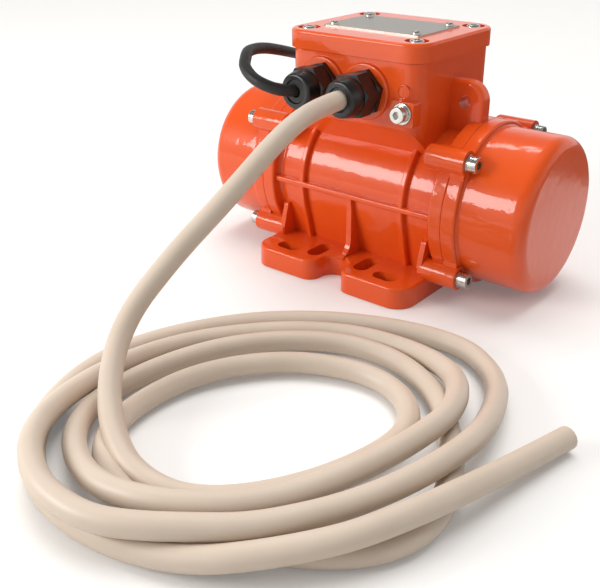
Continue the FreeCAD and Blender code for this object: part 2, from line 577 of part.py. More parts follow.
# ---- terminal box lid, plate, fasteners ----------------------------------------------------
lid_hx = BOX_HALF_X + LID_OVERHANG
lid_hy = BOX_HALF_Y + LID_OVERHANG
lid_z = BOX_TOP_Z + GASKET_H * 0.5
lid = slab(BOX_X, BOX_Y, lid_hx, lid_hy, BOX_CORNER + LID_OVERHANG, lid_z, LID_TOP_Z)
lid = lid.makeFillet(1.6, [e for e in lid.Edges if abs(e.CenterOfMass.z - LID_TOP_Z) < 0.01])
hollow = slab(BOX_X, BOX_Y, BOX_HALF_X - LID_WALL, BOX_HALF_Y - LID_WALL, BOX_CORNER - LID_WALL,
              lid_z, LID_TOP_Z - LID_WALL)
lid_posts = []
lid_screws = []
lid_holes = []
gasket = slab(BOX_X, BOX_Y, BOX_HALF_X - 0.3, BOX_HALF_Y - 0.3, BOX_CORNER - 0.3, BOX_TOP_Z,
              lid_z)
gasket = gasket.cut(slab(BOX_X, BOX_Y, BOX_HALF_X - BOX_WALL, BOX_HALF_Y - BOX_WALL,
                         BOX_CORNER - BOX_WALL, BOX_TOP_Z - 1, lid_z + 1))
POCKET_DEPTH = 2.0
for sx in (-1, 1):
    for sy in (-1, 1):
        px = BOX_X + sx * LID_SCREW[0]
        py = BOX_Y + sy * LID_SCREW[1]
        lid_posts.append(cylinder(6.5, 12, (px, py, lid_z), Z_AXIS))
        lid_holes.append(cylinder(2.25, 20, (px, py, lid_z - 1), Z_AXIS))
        lid_holes.append(cylinder(6.2, 5, (px, py, LID_TOP_Z - POCKET_DEPTH), Z_AXIS))
        gasket = gasket.fuse(cylinder(5.0, lid_z - BOX_TOP_Z, (px, py, BOX_TOP_Z), Z_AXIS))
        gasket = gasket.cut(cylinder(2.2, 4, (px, py, BOX_TOP_Z - 1), Z_AXIS))
        screw = turned_on([(-22, 0), (-22, 2.0), (0, 2.0), (0, 4.2), (2.6, 3.6, 1.2), (2.6, 0)],
                          (px, py, LID_TOP_Z - POCKET_DEPTH), Z_AXIS)
        cross = fused([box(px - 2.3, px + 2.3, py - 0.45, py + 0.45, LID_TOP_Z - 0.6, LID_TOP_Z + 2),
                       box(px - 0.45, px + 0.45, py - 2.3, py + 2.3, LID_TOP_Z - 0.6,
                           LID_TOP_Z + 2)])
        cross.rotate(V(px, py, 0), Z_AXIS, 25 + 40 * sx * sy)
        lid_screws.append(screw.cut(cross))
lid = lid.cut(hollow.cut(fused(lid_posts)))
for hole in lid_holes:
    lid = lid.cut(hole)
rivets = []
plate = slab(BOX_X, BOX_Y, PLATE[0], PLATE[1], 1.2, LID_TOP_Z, LID_TOP_Z + PLATE[2])
for sx in (-1, 1):
    for sy in (-1, 1):
        spot = (BOX_X + sx * RIVET[0], BOX_Y + sy * RIVET[1], LID_TOP_Z + PLATE[2])
        shank_hole = cylinder(1.2, 4.5, (spot[0], spot[1], spot[2] - 4.5), Z_AXIS)
        lid = lid.cut(shank_hole)
        plate = plate.cut(shank_hole)
        rivets.append(turned_on([(-4.3, 0), (-4.3, 1.2), (0, 1.2), (0, 2.4), (1.6, 2.2, 1.2),
                                 (1.6, 0)], spot, Z_AXIS))
save("terminal_box_lid", lid)
save("lid_gasket", gasket.removeSplitter())
save("lid_screws", Part.makeCompound(lid_screws))
save("name_plate", plate)
save("plate_rivets", Part.makeCompound(rivets))

# ---- cable glands --------------------------------------------------------------------------
OUT = V(0, -1, 0)
pad_face = hopper_front - 1.7
GLAND_HEX = 21.6
GLAND_TURN = {"power": 16, "capacitor": 16}
for name in GLAND_X:
    cord_r = POWER_R if name == "power" else THIN_R
    base = (GLAND_X[name], pad_face, GLAND_Z)
    thread = turned_on([(-12.0, 8.0), (-12.0, GLAND_THREAD_R, 0.4), (0, GLAND_THREAD_R),
                        (0, 10.4), (3.5, 10.4), (3.5, 9.2), (12.5, 9.2), (12.5, 8.0)], base, OUT)
    flats = hexagon(GLAND_HEX + 0.4, 3.5, base, OUT, 0.8, GLAND_TURN[name])
    flats = flats.cut(cylinder(9.9, 5, (base[0], pad_face + 0.5, base[2]), OUT))
    save(name + "_gland_body", thread.fuse(flats).removeSplitter())
    nut_start = (base[0], pad_face - 4.0, base[2])
    nut = hexagon(GLAND_HEX, 9.6, nut_start, OUT, 1.0, GLAND_TURN[name] - 8)
    dome = turned_on([(6, 0), (6, 10.4), (13.2, 10.4, 1.6), (18.0, 9.3, 1.8), (18.0, 0)],
                     nut_start, OUT)
    nut = nut.fuse(dome)
    nut = nut.cut(turned_on([(-1, 0), (-1, 9.25), (9.4, 9.25), (9.4, 7.8), (16.4, 7.8, 0.5),
                             (16.4, 6.4), (19, 6.4), (19, 0)], nut_start, OUT))
    save(name + "_gland_nut", nut.removeSplitter())
    seal = turned_on([(-2, cord_r), (-2, 7.8), (15.8, 7.8), (15.8, 6.3), (17.4, 6.3, 0.6),
                      (17.4, cord_r)], nut_start, OUT)
    save(name + "_gland_seal", seal)
    lock = hexagon(22.0, 5.0, (base[0], hopper_front + BOX_WALL, base[2]), Y_AXIS, 1.0, 30)
    lock = lock.cut(cylinder(GLAND_THREAD_R, 8, (base[0], hopper_front + BOX_WALL - 1, base[2]),
                             Y_AXIS))
    save(name + "_gland_locknut", lock)

# ---- earth screw ---------------------------------------------------------------------------
earth_face = hopper_front - 1.7
earth_base = (EARTH[0], earth_face, EARTH[1])
earth_washers = [turned_on([(0, 2.6), (0, 5.6, 0.3), (1.1, 5.6, 0.3), (1.1, 2.6)], earth_base, OUT),
                 turned_on([(1.1, 2.6), (1.1, 4.6, 0.2), (2.1, 4.6, 0.2), (2.1, 2.6)], earth_base,
                           OUT)]
save("earth_washers", Part.makeCompound(earth_washers))
earth_screw = turned_on([(-9, 0), (-9, SCREW_R), (2.1, SCREW_R), (2.1, HEAD_R), (5.6, HEAD_R, 0.5),
                         (5.6, 0)], earth_base, OUT)
socket = hexagon(4.0, 2.2, (EARTH[0], earth_face - 5.6 + 2.19, EARTH[1]), OUT, 0.01)
save("earth_screw", earth_screw.cut(socket))

# ---- terminal block ------------------------------------------------------------------------
block = box(BOX_X - 24, BOX_X + 24, 8, 22, BOX_FLOOR_Z, BOX_FLOOR_Z + 9)
studs = []
nuts = []
for i in range(4):
    x = BOX_X - 18 + 12 * i
    spot = (x, 15, BOX_FLOOR_Z + 3)
    if i:
        wall = box(x - 6.6, x - 5.4, 8, 22, BOX_FLOOR_Z + 9, BOX_FLOOR_Z + 14)
        block = block.fuse(wall)
    block = block.cut(cylinder(2.0, 8, spot, Z_AXIS))
    studs.append(cylinder(2.0, 17, spot, Z_AXIS))
    nut = hexagon(7.0, 3.2, (x, 15, BOX_FLOOR_Z + 9), Z_AXIS, 0.5)
    nuts.append(nut.cut(cylinder(2.0, 5, (x, 15, BOX_FLOOR_Z + 8), Z_AXIS)))
save("terminal_block", block.removeSplitter())
save("terminal_studs", Part.makeCompound(studs))
save("terminal_nuts", Part.makeCompound(nuts))

# ---- run capacitor behind the box ------------------------------------------------------------
can = turned_on([(0, 0), (0, CAP_R, 1.5), (CAP_X[1] - CAP_X[0], CAP_R, 3),
                 (CAP_X[1] - CAP_X[0], 0)], (CAP_X[0], CAP_Y, CAP_Z), X_AXIS)
neck = cylinder(6.0, 5.0, (CAP_X[0] - 5, CAP_Y, CAP_Z))
cord_hole = cylinder(THIN_R, 5.0, (CAP_X[0] - 5, CAP_Y, CAP_Z))
save("capacitor", can.fuse(neck).cut(cord_hole).removeSplitter())
band_x = (-28.0, -12.0)
band = turned_on([(0, CAP_R), (0, CAP_R + 1.2), (16, CAP_R + 1.2), (16, CAP_R)],
                 (band_x[0], CAP_Y, CAP_Z), X_AXIS)
wall_y = BOX_Y + BOX_HALF_Y
tab = box(band_x[0], band_x[1], wall_y, wall_y + 1.2, CAP_Z, CAP_Z + 22)
tab = tab.makeFillet(4, [e for e in tab.Edges if abs(e.CenterOfMass.z - CAP_Z - 22) < 0.1
                         and e.Length < 2])
tab = tab.cut(cylinder(CAP_R, 40, (-40, CAP_Y, CAP_Z)))
strap = band.fuse(tab).cut(cylinder(2.1, 6, (-20, wall_y - 2, CAP_Z + 17.5), Y_AXIS))
save("capacitor_clip", strap.removeSplitter())
clip_screw = turned_on([(-4.0, 0), (-4.0, 2.0), (1.2, 2.0), (1.2, 3.9), (3.6, 3.3, 1), (3.6, 0)],
                       (-20, wall_y, CAP_Z + 17.5), Y_AXIS)
save("capacitor_clip_screw", clip_screw)

# ---- cords ---------------------------------------------------------------------------------
CAPACITOR_CORD = [(GLAND_X["capacitor"], -52, GLAND_Z), (GLAND_X["capacitor"], -69.2, GLAND_Z),
                  (-30.1, -81.3, 113.5), (-45, -78.7, 117.7), (-53.5, -64.6, 113.6),
                  (-60, -55.3, 122.3), (-63.9, -37.7, 121.8), (-70, -12, 114), (-79, 14, 107),
                  (-79, 41, 102), (-66, CAP_Y, CAP_Z), (CAP_X[0] - 3.5, CAP_Y, CAP_Z)]
save("capacitor_cord", cord(CAPACITOR_CORD, THIN_R, "capacitor_cord"))
POWER_CORD = [(GLAND_X["power"], -52, GLAND_Z), (GLAND_X["power"], -78, GLAND_Z),
              (14, -111, 103), (9.4, -150, 77), (5.7, -177, 60.7), (-1.6, -205, 35), (5, -230, 26)]
save("power_cord", cord(POWER_CORD, POWER_R, "power_cord"))


def oval(x, y, long_half, short_half, turn, low, high):
    """Upright oval block, its long axis turned from X."""
    ring = Part.Ellipse(V(0, 0, 0), long_half, short_half).toShape()
    block = prism(Part.Wire(ring), V(0, 0, high - low))
    block.rotate(V(0, 0, 0), Z_AXIS, turn)
    block.translate(V(x, y, low))
    return block


coil = oval(*COIL_OUTER, 0.3, COIL_H).cut(oval(*COIL_HOLE, 0, COIL_H + 1))
coil = coil.makeFillet(6.0, [e for e in coil.Edges if e.Length > 100])
save("power_cord_coil", coil)
POWER_TAIL = [(164.8, -150.0, 7.6), (167.6, -136.5, 6.3), (171.0, -122.0, 5.6)]
save("power_cord_tail", cord(POWER_TAIL, POWER_R, "power_cord_tail"))
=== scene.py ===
"""Vibration motor with its supply cable: finishes, cords, light and camera around the CAD frame."""

import math

import bmesh
import bpy
from mathutils import Matrix, Vector


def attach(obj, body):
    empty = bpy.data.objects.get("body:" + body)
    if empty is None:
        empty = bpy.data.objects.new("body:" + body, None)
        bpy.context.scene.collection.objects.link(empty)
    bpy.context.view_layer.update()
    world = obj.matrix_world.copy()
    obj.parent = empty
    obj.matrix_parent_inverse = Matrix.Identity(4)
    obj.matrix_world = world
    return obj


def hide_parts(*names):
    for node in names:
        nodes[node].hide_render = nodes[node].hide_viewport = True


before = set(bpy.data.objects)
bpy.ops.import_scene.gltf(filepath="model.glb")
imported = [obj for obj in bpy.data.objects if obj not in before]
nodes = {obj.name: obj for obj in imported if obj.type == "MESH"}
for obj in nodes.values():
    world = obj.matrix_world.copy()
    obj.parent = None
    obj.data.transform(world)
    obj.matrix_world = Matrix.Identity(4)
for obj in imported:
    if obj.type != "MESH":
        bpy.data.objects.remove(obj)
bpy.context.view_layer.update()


# ---- Housing -------------------------------------------------------------------------
# One pressure die casting in aluminium: barrel, flanges, foot, terminal box and lug. It is
# blasted and then coated in orange red polyester powder, which melts to a thick glossy skin.

def colour(code):
    """sRGB hex to the linear colour that a shader wants."""
    parts = [int(code[i:i + 2], 16) / 255 for i in (1, 3, 5)]
    linear = [c / 12.92 if c <= 0.04045 else ((c + 0.055) / 1.055) ** 2.4 for c in parts]
    return (*linear, 1.0)


def add(tree, kind, inputs=None, **settings):
    """Adds one node. An input is given a value, or another node's output to be linked."""
    made = tree.nodes.new(kind)
    for name, value in settings.items():
        setattr(made, name, value)
    for name, value in (inputs or {}).items():
        if isinstance(value, bpy.types.NodeSocket):
            tree.links.new(value, made.inputs[name])
        else:
            made.inputs[name].default_value = value
    return made


def finish_of(name, **surface):
    """A new material, its tree, its Principled shader and the object's own coordinates."""
    made = bpy.data.materials.new(name)
    made.use_nodes = True
    tree = made.node_tree
    shader = tree.nodes["Principled BSDF"]
    for socket, value in surface.items():
        shader.inputs[socket.replace("_", " ")].default_value = value
    place = add(tree, "ShaderNodeTexCoord").outputs["Object"]
    return made, tree, shader, place


def dress(material, *names):
    """Gives CAD nodes their finish."""
    for name in names:
        slots = nodes[name].data.materials
        slots.clear()
        slots.append(material)


# Powder coat: deep gloss, with the slow waves of the blasted casting and the fine orange
# peel of the melted powder, which breaks up the edge of every reflection.
powder_coat, tree, shader, place = finish_of(
    "powder_coat_orange_red", Roughness=0.3, Specular_IOR_Level=0.18, Coat_Weight=0.6,
    Coat_Roughness=0.03)
tone = add(tree, "ShaderNodeTexNoise", {"Vector": place, "Scale": 22.0, "Detail": 3.0})
mix = add(tree, "ShaderNodeMix", {0: tone.outputs[0], 6: colour("#DE4E16"),
                                  7: colour("#E4581C")}, data_type="RGBA")
tree.links.new(mix.outputs[2], shader.inputs["Base Color"])
waves = add(tree, "ShaderNodeTexNoise", {"Vector": place, "Scale": 150.0, "Detail": 1.0})
peel = add(tree, "ShaderNodeTexNoise", {"Vector": place, "Scale": 800.0, "Detail": 1.0})
wavy = add(tree, "ShaderNodeBump", {"Height": waves.outputs[0], "Strength": 0.4,
                                    "Distance": 0.0004})
skin = add(tree, "ShaderNodeBump", {"Height": peel.outputs[0], "Strength": 0.3,
                                    "Distance": 0.00008, "Normal": wavy.outputs["Normal"]})
tree.links.new(skin.outputs["Normal"], shader.inputs["Normal"])
tree.links.new(skin.outputs["Normal"], shader.inputs["Coat Normal"])
dress(powder_coat, "housing")


# Raised ring beside the right gland, cast with the box: the plain mark of the earth screw.
MARK_SPOT = (0.0320, -0.0403, 0.1097)
MARK_R = 0.0034
MARK_LINE = 0.00045
MARK_TURNS, MARK_SIDES = 48, 8

mark_shape = bmesh.new()
for turn in range(MARK_TURNS):
    around = 2 * math.pi * turn / MARK_TURNS
    for side in range(MARK_SIDES):
        across = 2 * math.pi * side / MARK_SIDES
        reach = MARK_R + MARK_LINE * math.cos(across)
        mark_shape.verts.new((MARK_SPOT[0] + reach * math.cos(around),
                              MARK_SPOT[1] + MARK_LINE * math.sin(across),
                              MARK_SPOT[2] + reach * math.sin(around)))
spots = list(mark_shape.verts)
for turn in range(MARK_TURNS):
    here, after = turn * MARK_SIDES, (turn + 1) % MARK_TURNS * MARK_SIDES
    for side in range(MARK_SIDES):
        beside = (side + 1) % MARK_SIDES
        mark_shape.faces.new((spots[here + side], spots[here + beside],
                              spots[after + beside], spots[after + side]))
bmesh.ops.recalc_face_normals(mark_shape, faces=mark_shape.faces)
mark_mesh = bpy.data.meshes.new("earth_mark")
mark_shape.to_mesh(mark_mesh)
mark_shape.free()
mark_mesh.shade_smooth()
mark_mesh.materials.append(powder_coat)
earth_mark = bpy.data.objects.new("earth_mark", mark_mesh)
bpy.context.scene.collection.objects.link(earth_mark)
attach(earth_mark, "base")


# ---- Stator --------------------------------------------------------------------------
# A stack of varnished electrical steel sheets pressed into the barrel, with enamelled copper
# coils in its slots. The ends of the coils are laced and dipped in resin.
lamination, tree, shader, place = finish_of(
    "electrical_steel_laminations", Base_Color=colour("#5B5E62"), Metallic=1.0, Roughness=0.45)
sheets = add(tree, "ShaderNodeTexWave", {"Vector": place, "Scale": 320.0}, bands_direction="X")
ridges = add(tree, "ShaderNodeBump", {"Height": sheets.outputs[0], "Strength": 0.5,
                                      "Distance": 0.00005})
tree.links.new(ridges.outputs["Normal"], shader.inputs["Normal"])
dress(lamination, "stator_core", "rotor_core")

enamelled_wire, tree, shader, place = finish_of(
    "enamelled_copper_wire", Metallic=0.85, Roughness=0.35)
turns = add(tree, "ShaderNodeTexWave", {"Vector": place, "Scale": 260.0, "Distortion": 2.0,
                                        "Detail": 1.0}, bands_direction="DIAGONAL")
# The turns are painted darker in the grooves between them and lighter on their crests: painted
# shade and painted highlight, keyed to the same bands as the bump.
wire_tone_and_groove_shade = add(tree, "ShaderNodeMix", {0: turns.outputs[0],
                                        6: colour("#7A3A1C"), 7: colour("#B5622F")},
                data_type="RGBA")
tree.links.new(wire_tone_and_groove_shade.outputs[2], shader.inputs["Base Color"])
wire_round = add(tree, "ShaderNodeBump", {"Height": turns.outputs[0], "Strength": 0.8,
                                          "Distance": 0.0003})
tree.links.new(wire_round.outputs["Normal"], shader.inputs["Normal"])
dress(enamelled_wire, "stator_windings")


# ---- Bearing shields and rings ----------------------------------------------------------
# Bare die-cast aluminium shields, turned where the bearings sit, and the rings that hold them in
# the barrel. Dull grey with a fine cast grain. The rotor's end rings are cast of the same metal.
bare_casting, tree, shader, place = finish_of(
    "bare_die_cast_aluminium", Metallic=1.0, Roughness=0.5)
grain = add(tree, "ShaderNodeTexNoise", {"Vector": place, "Scale": 500.0, "Detail": 3.0})
cast_tone = add(tree, "ShaderNodeMix", {0: grain.outputs[0],
                                        6: colour("#8E9093"), 7: colour("#A9ABAE")},
                data_type="RGBA")
tree.links.new(cast_tone.outputs[2], shader.inputs["Base Color"])
cast_skin = add(tree, "ShaderNodeBump", {"Height": grain.outputs[0], "Strength": 0.4,
                                         "Distance": 0.00008})
tree.links.new(cast_skin.outputs["Normal"], shader.inputs["Normal"])
dress(bare_casting, "bearing_shield_left", "bearing_shield_right", "shield_ring_left",
      "shield_ring_right", "rotor_end_rings")


# ---- Shaft, bearings, keys and clips ----------------------------------------------------
# Turned and ground steel. The grinding leaves rings round the shaft line, finer than a hair,
# drawn here at a quarter of a millimetre so that they show.
ground_steel, tree, shader, place = finish_of(
    "ground_bearing_steel", Base_Color=colour("#A3A6AA"), Metallic=1.0)
rings = add(tree, "ShaderNodeTexNoise", {"Vector": add(tree, "ShaderNodeMapping", {
    "Vector": place, "Scale": (4000.0, 60.0, 60.0)}).outputs["Vector"], "Scale": 1.0})
sheen = add(tree, "ShaderNodeMapRange", {"Value": rings.outputs[0], "To Min": 0.16,
                                         "To Max": 0.34})
tree.links.new(sheen.outputs["Result"], shader.inputs["Roughness"])
dress(ground_steel, "shaft", "weight_keys", "shaft_clips",
      *[part + side for side in ("_left", "_right") for part in (
          "bearing_outer_ring", "bearing_inner_ring", "bearing_balls")])

# Moulded cage of the bearing: glass filled nylon, off white and slightly waxy.
cage_nylon, tree, shader, place = finish_of(
    "moulded_cage_nylon", Base_Color=colour("#C9B98F"), Roughness=0.45)
fibre = add(tree, "ShaderNodeTexNoise", {"Vector": place, "Scale": 1500.0})
cage_skin = add(tree, "ShaderNodeBump", {"Height": fibre.outputs[0], "Strength": 0.2,
                                         "Distance": 0.00003})
tree.links.new(cage_skin.outputs["Normal"], shader.inputs["Normal"])
dress(cage_nylon, "bearing_cage_left", "bearing_cage_right")


# ---- Unbalance weights ------------------------------------------------------------------
# Grey cast iron discs with a flat side, one keyed to each end of the shaft and one clamped
# beside it by its bolt. Dark, rough, and only lightly oiled.
cast_iron, tree, shader, place = finish_of("oiled_cast_iron", Metallic=0.7, Roughness=0.6)
sand = add(tree, "ShaderNodeTexNoise", {"Vector": place, "Scale": 700.0, "Detail": 4.0})
iron_tone = add(tree, "ShaderNodeMix", {0: sand.outputs[0],
                                        6: colour("#3A3C3E"), 7: colour("#56585B")},
                data_type="RGBA")
tree.links.new(iron_tone.outputs[2], shader.inputs["Base Color"])
iron_skin = add(tree, "ShaderNodeBump", {"Height": sand.outputs[0], "Strength": 0.6,
                                         "Distance": 0.00015})
tree.links.new(iron_skin.outputs["Normal"], shader.inputs["Normal"])
dress(cast_iron, "inner_weight_left", "inner_weight_right", "outer_weight_left",
      "outer_weight_right")


# ---- End covers ---------------------------------------------------------------------
# Deep round dishes, die cast and powder coated with the housing. They close over the weights,
# and a black rubber ring seals each joint.
dress(powder_coat, "cover_left", "cover_right")

rubber, tree, shader, place = finish_of(
    "black_rubber", Base_Color=colour("#1E1C1A"), Roughness=0.55)
chalk = add(tree, "ShaderNodeTexNoise", {"Vector": place, "Scale": 260.0, "Detail": 4.0})
dull = add(tree, "ShaderNodeMapRange", {"Value": chalk.outputs[0], "To Min": 0.4,
                                        "To Max": 0.65})
tree.links.new(dull.outputs["Result"], shader.inputs["Roughness"])
dress(rubber, "cover_seal_left", "cover_seal_right", "lid_gasket", "power_gland_seal",
      "capacitor_gland_seal")


# ---- Screws and washers -----------------------------------------------------------------
# Zinc plated steel: the screws and washers of the covers, the lid and the earth, the clamp
# bolts of the weights, and the capacitor's clip. Bright, with the clouds of the plating bath.
zinc, tree, shader, place = finish_of("bright_zinc_plating", Metallic=1.0)
cloud = add(tree, "ShaderNodeTexNoise", {"Vector": place, "Scale": 320.0, "Detail": 2.0})
zinc_tone = add(tree, "ShaderNodeMix", {0: cloud.outputs[0],
                                        6: colour("#B9B6AF"), 7: colour("#DEDDD8")},
                data_type="RGBA")
tree.links.new(zinc_tone.outputs[2], shader.inputs["Base Color"])
zinc_sheen = add(tree, "ShaderNodeMapRange", {"Value": cloud.outputs[0],
                                              "To Min": 0.14, "To Max": 0.34})
tree.links.new(zinc_sheen.outputs["Result"], shader.inputs["Roughness"])
dress(zinc, "cover_screws_left", "cover_screws_right", "cover_washers_left",
      "cover_washers_right", "lid_screws", "earth_screw", "earth_washers",
      "weight_clamp_bolt_left", "weight_clamp_bolt_right", "capacitor_clip",
      "capacitor_clip_screw")


# ---- Terminal box lid and rating plate ---------------------------------------------------
# The lid is a shallow casting in the same powder coat. Its plate is bare aluminium sheet,
# brushed along its length, left blank, and held by four domed rivets.
dress(powder_coat, "terminal_box_lid")

PLATE_BRUSH = (60.0, 2600.0, 60.0)      # strokes about 15 mm long and 0.4 mm apart
brushed, tree, shader, place = finish_of("brushed_aluminium_sheet", Metallic=1.0)
strokes = add(tree, "ShaderNodeTexNoise", {"Vector": add(tree, "ShaderNodeMapping", {
    "Vector": place, "Scale": PLATE_BRUSH}).outputs["Vector"], "Scale": 1.0, "Detail": 3.0})
brush_tone = add(tree, "ShaderNodeMix", {0: strokes.outputs[0],
                                         6: colour("#A39B92"), 7: colour("#D2CCC4")},
                 data_type="RGBA")
tree.links.new(brush_tone.outputs[2], shader.inputs["Base Color"])
brush_sheen = add(tree, "ShaderNodeMapRange", {"Value": strokes.outputs[0],
                                               "To Min": 0.25, "To Max": 0.5})
tree.links.new(brush_sheen.outputs["Result"], shader.inputs["Roughness"])
dress(brushed, "name_plate")

rivet_alloy, tree, shader, place = finish_of(
    "rivet_aluminium", Base_Color=colour("#C7C3BC"), Metallic=1.0)
dents = add(tree, "ShaderNodeTexNoise", {"Vector": place, "Scale": 600.0})
rivet_sheen = add(tree, "ShaderNodeMapRange", {"Value": dents.outputs[0],
                                               "To Min": 0.18, "To Max": 0.4})
tree.links.new(rivet_sheen.outputs["Result"], shader.inputs["Roughness"])
dress(rivet_alloy, "plate_rivets")


# ---- Cable glands --------------------------------------------------------------------
# Injection moulded black nylon, satin, with a faint flow pattern. Each body goes through the
# wall of the box and a lock nut holds it there. The dome nut squeezes the seal on the cord.
nylon, tree, shader, place = finish_of("moulded_black_nylon", Base_Color=colour("#191817"))
flow = add(tree, "ShaderNodeTexNoise", {"Vector": place, "Scale": 180.0, "Detail": 3.0})
nylon_sheen = add(tree, "ShaderNodeMapRange", {"Value": flow.outputs[0],
                                               "To Min": 0.24, "To Max": 0.42})
tree.links.new(nylon_sheen.outputs["Result"], shader.inputs["Roughness"])
nylon_skin = add(tree, "ShaderNodeBump", {"Height": flow.outputs[0], "Strength": 0.25,
                                          "Distance": 0.0001})
tree.links.new(nylon_skin.outputs["Normal"], shader.inputs["Normal"])
dress(nylon, *[cord + "_gland" + part for cord in ("power", "capacitor")
               for part in ("_body", "_nut", "_locknut")])


# ---- Terminal block ------------------------------------------------------------------
# Ivory moulded phenolic block on the box floor, where the windings and the cable are joined.
# Its studs and nuts are turned brass.
phenolic, tree, shader, place = finish_of(
    "ivory_moulded_phenolic", Base_Color=colour("#DDD3B8"), Roughness=0.4)
mould = add(tree, "ShaderNodeTexNoise", {"Vector": place, "Scale": 400.0, "Detail": 2.0})
mould_skin = add(tree, "ShaderNodeBump", {"Height": mould.outputs[0], "Strength": 0.2,
                                          "Distance": 0.00005})
tree.links.new(mould_skin.outputs["Normal"], shader.inputs["Normal"])
dress(phenolic, "terminal_block")

brass, tree, shader, place = finish_of(
    "turned_brass", Base_Color=colour("#C79A4B"), Metallic=1.0)
turned_marks = add(tree, "ShaderNodeTexNoise", {"Vector": place, "Scale": 900.0})
brass_sheen = add(tree, "ShaderNodeMapRange", {"Value": turned_marks.outputs[0],
                                               "To Min": 0.2, "To Max": 0.36})
tree.links.new(brass_sheen.outputs["Result"], shader.inputs["Roughness"])
dress(brass, "terminal_studs", "terminal_nuts")


# ---- Capacitor -----------------------------------------------------------------------
# Round run capacitor in a white moulded polypropylene can. A clip holds it to the back of the
# box with one screw.
white_can, tree, shader, place = finish_of(
    "white_polypropylene_can", Base_Color=colour("#E4E2DC"), Roughness=0.38)
sink = add(tree, "ShaderNodeTexNoise", {"Vector": place, "Scale": 90.0, "Detail": 2.0})
can_skin = add(tree, "ShaderNodeBump", {"Height": sink.outputs[0], "Strength": 0.2,
                                        "Distance": 0.0002})
tree.links.new(can_skin.outputs["Normal"], shader.inputs["Normal"])
dress(white_can, "capacitor")


# ---- Capacitor lead ------------------------------------------------------------------
# A thin black rubber lead. It leaves the left gland, bends back on itself and runs round
# the end of the box to the capacitor.
LEAD_R = 0.00315
LEAD_ROUTE = [(-20, -52, 106.7), (-20, -67.7, 106.7), (-32.3, -78.8, 112.2),
              (-46, -74.3, 117.6), (-53.5, -64.5, 120.8), (-61.2, -54.5, 121.8),
              (-67.5, -35, 120), (-72, -11, 114), (-79, 14, 107), (-79, 41, 102),
              (-66, 51.7, 101), (-53.5, 51.7, 101)]


def cord_curve(name, route, radius, material):
    """One smooth spline whose control points are the route, in millimetres."""
    data = bpy.data.curves.new(name, "CURVE")
    data.dimensions = "3D"
    data.bevel_depth = radius
    data.bevel_resolution = 6
    data.resolution_u = 8
    data.use_fill_caps = True
    spline = data.splines.new("NURBS")
    spline.points.add(len(route) - 1)
    for point, spot in zip(spline.points, route):
        point.co = (*[c / 1000 for c in spot], 1.0)
    spline.order_u = 3
    spline.use_endpoint_u = True
    data.materials.append(material)
    made = bpy.data.objects.new(name, data)
    bpy.context.scene.collection.objects.link(made)
    return made


lead = cord_curve("capacitor_lead", LEAD_ROUTE, LEAD_R, rubber)
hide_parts("capacitor_cord")
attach(lead, "base")


# ---- Supply cable --------------------------------------------------------------------
# Round four core cable in beige PVC, as it comes: it drops out of the right gland, lies in
# four loose turns that cross each other, and ends in a plain cut.
CABLE_R = 0.0050
CABLE_DROP = [(8.6, -52, 106.7), (8.6, -78, 106.7), (14, -111, 103), (9.4, -150, 77),
              (5.7, -177, 60.7), (-1.6, -205, 35), (17, -231, 17), (43, -246, 8)]
FIRST_TURN = [(65, -248, 5.5), (83, -242, 5.5), (99, -225, 5.5), (111, -202, 5.5),
              (118, -178, 6), (118, -159, 6), (109, -144, 6), (95, -135, 5.5),
              (80, -133, 5.5), (64, -137, 6), (46, -147, 6.5), (30, -164, 6.5),
              (19, -185, 6), (16, -207, 5.5), (19, -228, 5.5), (29, -244, 5.5),
              (44, -253, 5.5), (61, -258, 5.5), (81, -258, 5.5), (101, -253, 5.5)]
SECOND_TURN = [(121, -245, 5.5), (139, -233, 5.5), (151, -218, 5.5), (155, -200, 5.5),
               (150, -180, 5.5), (139, -159, 5.5), (123, -138, 5.5), (105, -123, 5.5),
               (86, -115, 5.5), (67, -114, 5.5), (48, -120, 6), (29, -134, 6),
               (13, -154, 6), (3, -177, 5.5), (-1, -202, 5.5), (1, -225, 5.5),
               (10, -242, 6.5), (24, -254, 8.5), (41, -262, 10.5), (58, -265, 13),
               (76, -262, 15), (91, -254, 15.5), (105, -241, 15)]
THIRD_TURN = [(115, -225, 14.5), (122, -207, 15), (128, -186, 15.5), (131, -166, 15.5),
              (131, -148, 15), (125, -131, 13.5), (114, -116, 10.5), (97, -107, 8),
              (78, -103, 6), (57, -105, 5.5), (36, -115, 5.5), (17, -131, 5.5),
              (1, -151, 5.5), (-9, -173, 6), (-11, -195, 8), (-9, -217, 10.5),
              (-3, -240, 12.5), (8, -259, 15), (22, -272, 16), (39, -280, 15.5),
              (56, -282, 15.5), (71, -280, 15.5), (85, -273, 16), (99, -262, 15.5),
              (113, -250, 15), (124, -235, 15)]
FOURTH_TURN = [(133, -218, 14.5), (141, -198, 15), (146, -175, 15), (146, -152, 12.5),
               (141, -131, 9.5), (133, -110, 7), (120, -94, 5.5), (102, -84, 5.5),
               (77, -85, 5.5), (50, -94, 5.5), (26, -108, 5.5), (4, -128, 5.5),
               (-13, -154, 5.5), (-23, -181, 5.5), (-24, -206, 5.5), (-17, -230, 5.5),
               (-5, -250, 5.5), (11, -265, 5.5), (30, -275, 5.5), (50, -279, 5.5),
               (70, -278, 5.5), (89, -273, 6)]
CABLE_TAIL = [(106, -266, 8), (120, -256, 11), (132, -245, 13.5), (143, -232, 15.5),
              (151, -215, 16), (156, -197, 14.5), (160, -176, 11.5), (164, -151, 7.5),
              (170, -122, 5.5)]

